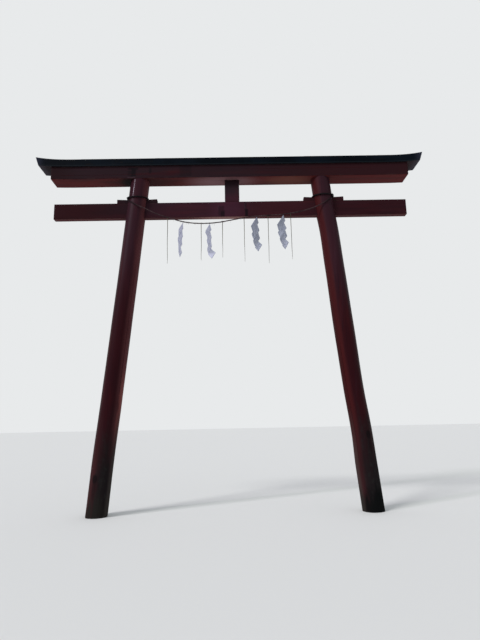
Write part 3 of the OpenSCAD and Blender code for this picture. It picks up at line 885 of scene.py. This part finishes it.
span_straw = straw_finish("span_straw", (60, 43, 46), (26, 18, 21), (86, 68, 68),
                          [((0.26, -0.1, 3.68), (0.1, 0.2, 0.3)), ((2.79, -0.1, 3.68), (0.1, 0.2, 0.3))])
rope_line = smooth_route(rope_route, 0.004)
rope_heap = Heap()
rope_strands(rope_heap, rope_line, rope_diameter, rope_lay, 2.0)
rope = rope_heap.piece("hanging_rope", span_straw, stands_for=["rope_span"])
fuzz = Heap()
stray_straws(fuzz, rope_line, rope_diameter / 2, 150, stray_length, random.Random(4))
rope_fuzz = fuzz.piece("rope_stray_straws", span_straw)

# Rope rings and knots
# A thicker rope goes once round each post just over the wedges, sags a little in front, and is bound with
# finer straw at the outer front, where the hanging rope is tied to it.
ring_diameter = 0.018
ring_lay = 0.075
ring_gap = 0.008
ring_sag = 0.017
ring_slack = 0.002
ring_side_z = beam_high.z + wedge_rise + ring_diameter / 2 + ring_gap
ring_radius = log_radius(ring_side_z) + ring_diameter / 2 + ring_slack
knot_angle = radians(212)
knot_half = radians(8)
binding_radius = 0.0032
binding_turns = 6
binding_out = 0.0125
binding_belly = 0.0018
core_radius = 0.0058
core_out = 0.0052


def ring_spot(angle, foot_x, run_x):
    """A point of the ring round a post; the right post's ring is the left one's mirror image."""
    way = 1 if run_x > 0 else -1
    sag = ring_sag * max(0.0, -sin(angle))
    return Vector((foot_x + run_x * ring_side_z + way * ring_radius * cos(angle),
                   ring_radius * sin(angle), ring_side_z - sag))


def bound_knot(heap, start, end, dice):
    """Turns of fine straw wound round the two ends of a ring, with a few ends left standing out."""
    way = (end - start).normalized()
    side = way.orthogonal().normalized()
    beside = way.cross(side)
    steps = 14 * binding_turns
    coil = []
    for k in range(steps + 1):
        share = k / steps
        out = binding_out + binding_belly * sin(pi * share)
        turned = out_at(2 * pi * binding_turns * share, side, beside)
        coil.append(start + (end - start) * (0.08 + 0.84 * share) + out * turned)
    heap.add(*tube(coil, [binding_radius] * len(coil), 8), tone=0.4)
    for k in range(3):
        core = [start + (end - start) * t + core_out * out_at(2.1 * k + 2 * t, side, beside)
                for t in (-0.1, 0.2, 0.5, 0.8, 1.1)]
        heap.add(*tube(core, [core_radius] * 5, 8), tone=0.3 * k)
    for _ in range(9):
        out = (side * dice.uniform(-1, 1) + beside * dice.uniform(-1, 1)).normalized()
        out.y = -abs(out.y)
        root = start + (end - start) * dice.uniform(0.3, 0.7) + out * 0.008
        reach = dice.uniform(0.025, 0.05)
        stem = [root, root + out * reach * 0.5 + way * dice.uniform(-0.01, 0.01),
                root + out * reach * 0.8 + Vector((0, 0, -0.4 * reach))]
        heap.add(*tube(stem, (0.0013, 0.0011, 0.0005), 5), tone=dice.random())


# The rings are nearly black, partly dirt and partly painted shade.
ring_straw = straw_finish("ring_straw", (19, 15, 18), (9, 8, 10), (32, 26, 28))
for (end_name, foot_x, run_x), seed in zip(posts, (3, 5)):
    from_knot, to_knot = knot_angle + knot_half, knot_angle - knot_half + 2 * pi
    ring_line = [ring_spot(from_knot + (to_knot - from_knot) * k / 180, foot_x, run_x) for k in range(181)]
    ring_heap, fuzz_heap, knot_heap = Heap(), Heap(), Heap()
    rope_strands(ring_heap, ring_line, ring_diameter, ring_lay, seed, 10)
    ring = ring_heap.piece("tied_ring_" + end_name, ring_straw, stands_for=["rope_ring_" + end_name])
    stray_straws(fuzz_heap, ring_line, ring_diameter / 2, 60, stray_length, random.Random(seed))
    ring_fuzz = fuzz_heap.piece("ring_stray_straws_" + end_name, ring_straw)
    knot_ends = [ring_spot(knot_angle + away, foot_x, run_x) for away in (-knot_half, knot_half)]
    bound_knot(knot_heap, *knot_ends, random.Random(seed + 10))
    knot = knot_heap.piece("bound_knot_" + end_name, ring_straw, stands_for=["rope_knot_" + end_name])

# Straw tails
# Six bunches of long straws tied over the rope between the streamers. They hang down to about 2.9 m above
# the ground and taper as their stems end.
tail_spots = [(0.76, 3.435, 2.85), (1.166, 3.353, 2.885), (1.423, 3.369, 2.914), (1.686, 3.415, 2.86),
              (1.976, 3.443, 2.835), (2.252, 3.464, 2.88)]
tail_steps = 24
tail_sway = 0.006
bunch_radius = 0.0026
bunch_taper = 0.0011
stem_radius = 0.0013
stem_taper = 0.0005
stem_sway = 0.0006
tie_radius = 0.0014


def tie_over(heap, place, way, turns, dice):
    """A few turns of straw round the rope, where something hangs from it."""
    side = way.cross(Vector((0, 0, 1))).normalized()
    beside = way.cross(side)
    out = rope_diameter / 2 + 0.0006
    coil = [place + way * (k / 12 - turns / 2) * 0.0026 + out * out_at(2 * pi * k / 12, side, beside)
            for k in range(turns * 12 + 1)]
    heap.add(*tube(coil, [tie_radius] * len(coil), 6), tone=dice.random())


def rope_at(x):
    """The point of the rope over a place along the gate, and the rope's heading there."""
    k = min(range(len(rope_line)), key=lambda n: abs(rope_line[n].x - x))
    return rope_line[k], headings(rope_line)[k]


ties = Heap()
tail_straw = straw_finish("tail_straw", (84, 78, 60), (48, 45, 36), (116, 108, 82))
for number, (x, rope_z, tip_z) in enumerate(tail_spots, 1):
    dice = random.Random(20 + number)
    top = rope_z - rope_diameter / 2
    middle = []
    for k in range(tail_steps + 1):
        share = k / tail_steps
        sway_x, sway_y = [tail_sway * wobble(k * 0.12, number, way) * share for way in (0, 5)]
        middle.append(Vector((x + sway_x, rope_y + sway_y, top + (tip_z - top) * share)))
    bunch = Heap()
    for stem in range(7):
        angle = 2 * pi * stem / 6
        keep = 0.0 if stem == 6 else 1.0
        steps = tail_steps if stem in (0, 3, 6) else dice.randrange(14, tail_steps)
        line, radii = [], []
        for k in range(steps + 1):
            share = k / tail_steps
            out = keep * (bunch_radius - bunch_taper * share) + stem_sway * wobble(k * 0.4, stem, number)
            line.append(middle[k] + out * out_at(angle + 0.05 * k, Vector((1, 0, 0)), Vector((0, 1, 0))))
            radii.append(stem_radius - stem_taper * share)
        bunch.add(*tube(line, radii, 6), tone=dice.random())
    tail = bunch.piece(f"straw_bunch_{number}", tail_straw, stands_for=[f"straw_tail_{number}"])
    tie_over(ties, *rope_at(x), 4, dice)

# Paper streamers
# Four zigzags of white paper, each cut from one small sheet and creased so that its four panels step
# down from a corner, twisting a little as they go, and tied under the rope with straw. Two are painted
# whiter, as painted light shining through them from behind, and two greyer, as painted shade.
streamer_spots = [(0.948, 3.377, 5, (62, 72, 66, 76)), (1.27, 3.353, -2, (38, 66, 60, 4)),
                  (1.842, 3.434, 0, (24, 36, 28, -20)), (2.166, 3.455, 0, (24, 16, 14, -32))]
panel_middles = (-0.08, -0.196, -0.283, -0.384)
row_length = 0.15 / 18
panel_width = 0.075
last_panel_width = 0.072
panel_lean = radians(33)
edge_lean = radians(20)
last_edge_lean = radians(36)
crease_depth = 0.008
ripple_depth = 0.003
belly_depth = 0.002
paper_thickness = 0.0006
down_long = row_length * Vector((-sin(panel_lean), 0, -cos(panel_lean)))
down_edge = panel_width * Vector((sin(edge_lean), 0, -cos(edge_lean)))
down_last = last_panel_width * Vector((sin(last_edge_lean), 0, -cos(last_edge_lean)))
step_down = 4 * down_long + down_edge
# Each panel: its top corner, its lower edge, and its first row and number of rows down the long edges
panels = [(Vector(), down_edge, 0, 20), (step_down, down_edge, 4, 19), (2 * step_down, down_edge, 8, 16),
          (2 * step_down + 6 * down_long + down_edge, down_last, 14, 11)]


def paper_finish(name, white, grey):
    """Soft fibrous paper, greyed by weather, with painted shade darkening it along its creases."""
    paper = Finish(name, white, 0.85)
    paper.lay(grey, (paper.cloud(0.05, 4.0), 0.42, 0.62), 0.6)
    paper.lay((140, 138, 134), (paper.cloud(0.018, 5.0, 6.0), 0.62, 0.74), 0.4)
    # Painted shade along the creases.
    paper.lay((118, 124, 138), paper.mark("crease"), 0.5)
    paper.raise_by(paper.cloud((0.002, 0.002, 0.02), 5.0), 0.25)
    paper.raise_by(paper.cloud(0.02, 2.0), 1.5)
    return paper.done(Specular_IOR_Level=0.2, Subsurface_Weight=0.5, Subsurface_Scale=0.004,
                      Subsurface_Radius=(1.0, 1.0, 1.0))


# Lit and shaded copies of one paper: the whiter is painted light shining through from behind, the greyer
# painted shade.
backlit_paper = paper_finish("backlit_paper", (190, 191, 212), (171, 173, 192))
shaded_paper = paper_finish("shaded_paper", (142, 146, 160), (124, 129, 143))


def turn_at(z, turns):
    """How far the paper has turned about the upright at a height below its top corner."""
    if z >= panel_middles[0]:
        return turns[0]
    for high, low, before, after in zip(panel_middles, panel_middles[1:], turns, turns[1:]):
        if z >= low:
            t = (high - z) / (high - low)
            return before + (after - before) * t * t * (3 - 2 * t)
    return turns[-1]


def streamer_surface(turns, seed):
    """Points, faces and crease marks of one streamer below its top corner."""
    places, points, faces, creases = {}, [], [], []
    for number, (corner, edge, first_row, rows) in enumerate(panels):
        for a in range(rows + 1):
            for b in range(9):
                key = (a + first_row, 8 * number + b)
                if key in places:
                    continue
                share = b / 8
                place = corner + a * down_long + share * edge
                ripple = wobble(key[0] * 0.22, key[1] * 0.16, seed)
                place.y = crease_depth * (share if number % 2 == 0 else 1 - share)
                place.y += ripple_depth * ripple + belly_depth * sin(pi * share)
                places[key] = len(points)
                points.append(Matrix.Rotation(radians(turn_at(place.z, turns)), 3, "Z") @ place)
                creases.append(1.0 if b in (0, 8) else 0.0)
        for a in range(rows):
            for b in range(8):
                row, column = a + first_row, 8 * number + b
                faces.append([places[row + i, column + j] for i, j in ((0, 0), (1, 0), (1, 1), (0, 1))])
    return points, faces, creases


for number, (x, rope_z, swing, turns) in enumerate(streamer_spots, 1):
    points, faces, creases = streamer_surface(turns, 3.0 * number)
    top = Vector((x, rope_y, rope_z - rope_diameter / 2))
    hang = Matrix.Translation(top) @ Matrix.Rotation(radians(swing), 4, "Y")
    streamer = make_piece(f"paper_zigzag_{number}", [hang @ p for p in points], faces,
                          backlit_paper if number < 3 else shaded_paper, [f"streamer_{number}"],
                          {"crease": creases}, 20)
    body = streamer.modifiers.new("body", "SOLIDIFY")
    body.thickness, body.offset = paper_thickness, 0.0
    tie_over(ties, *rope_at(x), 3, random.Random(40 + number))
tie_piece = ties.piece("hanging_ties", span_straw)

# Ground and light
# A plain pale floor, a pale surround, and soft even light from above and in front, which the floor throws
# back up under the beams.
floor_mesh = bpy.data.meshes.new("floor")
floor_mesh.from_pydata([(-60, -60, 0), (60, -60, 0), (60, 60, 0), (-60, 60, 0)], [], [[0, 1, 2, 3]])
floor = put_in("floor", floor_mesh)
ground = bpy.data.materials.new("ground")
ground.use_nodes = True
ground_surface = ground.node_tree.nodes["Principled BSDF"].inputs
ground_surface["Base Color"].default_value = srgb(222, 222, 218)
ground_surface["Roughness"].default_value = 0.9
floor_mesh.materials.append(ground)

surround = bpy.data.worlds.new("surround")
surround.use_nodes = True
bpy.context.scene.world = surround
sky = surround.node_tree
light_from_sky = sky.nodes["Background"]
light_from_sky.inputs["Color"].default_value = (0.88, 0.93, 1.0, 1.0)
light_from_sky.inputs["Strength"].default_value = 0.6
seen_sky = add_node(sky, "Background", {"Color": srgb(232, 234, 235), "Strength": 1.0})
rays = add_node(sky, "LightPath")
seen = rays["Is Camera Ray"]
for kind in ("Is Glossy Ray", "Is Transmission Ray"):
    seen = add_node(sky, "Math", {0: seen, 1: rays[kind]}, operation="MAXIMUM")[0]
choose = add_node(sky, "MixShader", {0: seen, 1: light_from_sky.outputs[0], 2: seen_sky[0]})
plug(sky, sky.nodes["World Output"].inputs["Surface"], choose[0])

lamp_spots = [("lamp", 1.4, (1.0, 1.0, 1.0), 14, (45, -48)),
              ("low_lamp", 0.68, (0.94, 0.84, 1.0), 4, (61, -58))]
for name, strength, colour, spread, (down, round_z) in lamp_spots:
    lamp = put_in(name, bpy.data.lights.new(name, "SUN"))
    lamp.data.energy = strength
    lamp.data.color = colour
    lamp.data.angle = radians(spread)
    lamp.rotation_euler = (radians(down), 0, radians(round_z))
bpy.context.scene.view_settings.view_transform = "Standard"
